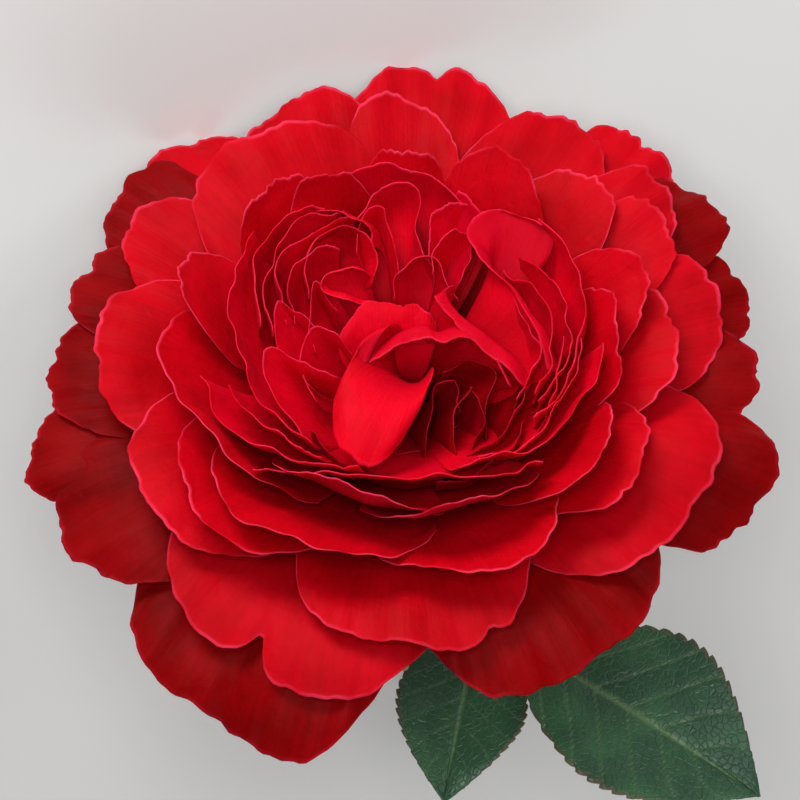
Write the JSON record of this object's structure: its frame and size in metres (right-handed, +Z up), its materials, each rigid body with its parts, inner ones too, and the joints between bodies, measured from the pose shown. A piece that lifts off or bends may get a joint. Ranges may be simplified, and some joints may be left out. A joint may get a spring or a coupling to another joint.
{
  "type": "hybrid tea rose",
  "caption": "Full, quartered red rose on a short cut stem with sepals and a leaf, lying on a surface as picked.",
  "frame": {"origin": "on the surface that the flower lies on, under the middle of its box", "axes": "+Z up; the bloom faces up and towards +Y, and the cut stem runs down towards -Y"},
  "size_m": [0.1112, 0.139, 0.095],
  "materials": {
    "petal": "soft velvet, bright red with a thin lighter rim",
    "guard_petal": "soft velvet, deep red with a darker, slightly weathered rim",
    "heart_petal": "soft velvet, bright red with a pinkish back",
    "sepal": "matt green, paler and downy inside",
    "stem": "smooth green rind with reddish prickles",
    "leaf": "dark green, leathery, with sunken veins"
  },
  "bodies": {
    "root": {"hip": "stem", "stem": "stem", "sepal_1": "sepal", "sepal_2": "sepal", "sepal_3": "sepal", "sepal_4": "sepal", "sepal_5": "sepal", "leaf": "leaf", "guard_petal_01": "guard_petal", "guard_petal_02": "guard_petal", "guard_petal_03": "guard_petal", "guard_petal_04": "guard_petal", "guard_petal_05": "guard_petal", "guard_petal_06": "guard_petal", "guard_petal_07": "guard_petal", "guard_petal_08": "guard_petal", "guard_petal_09": "guard_petal", "guard_petal_10": "guard_petal", "guard_petal_11": "guard_petal", "guard_petal_12": "guard_petal", "guard_petal_13": "guard_petal", "guard_petal_14": "guard_petal", "guard_petal_15": "guard_petal", "outer_petal_01": "petal", "outer_petal_02": "petal", "outer_petal_03": "petal", "outer_petal_04": "petal", "outer_petal_05": "petal", "outer_petal_06": "petal", "outer_petal_07": "petal", "outer_petal_08": "petal", "outer_petal_09": "petal", "outer_petal_10": "petal", "outer_petal_11": "petal", "middle_petal_01": "petal", "middle_petal_02": "petal", "middle_petal_03": "petal", "middle_petal_04": "petal", "middle_petal_05": "petal", "middle_petal_06": "petal", "middle_petal_07": "petal", "middle_petal_08": "petal", "middle_petal_09": "petal", "middle_petal_10": "petal", "inner_petal_01": "petal", "inner_petal_02": "petal", "inner_petal_03": "petal", "inner_petal_04": "petal", "inner_petal_05": "petal", "inner_petal_06": "petal", "inner_petal_07": "petal", "inner_petal_08": "petal", "quarter_left_outer": "heart_petal", "quarter_left_inner": "heart_petal", "quarter_right_outer": "heart_petal", "quarter_right_inner": "heart_petal", "quarter_top_outer": "heart_petal", "quarter_top_inner": "heart_petal", "heart_tongue": "heart_petal", "heart_ribbon": "heart_petal"}
  },
  "joints": []
}
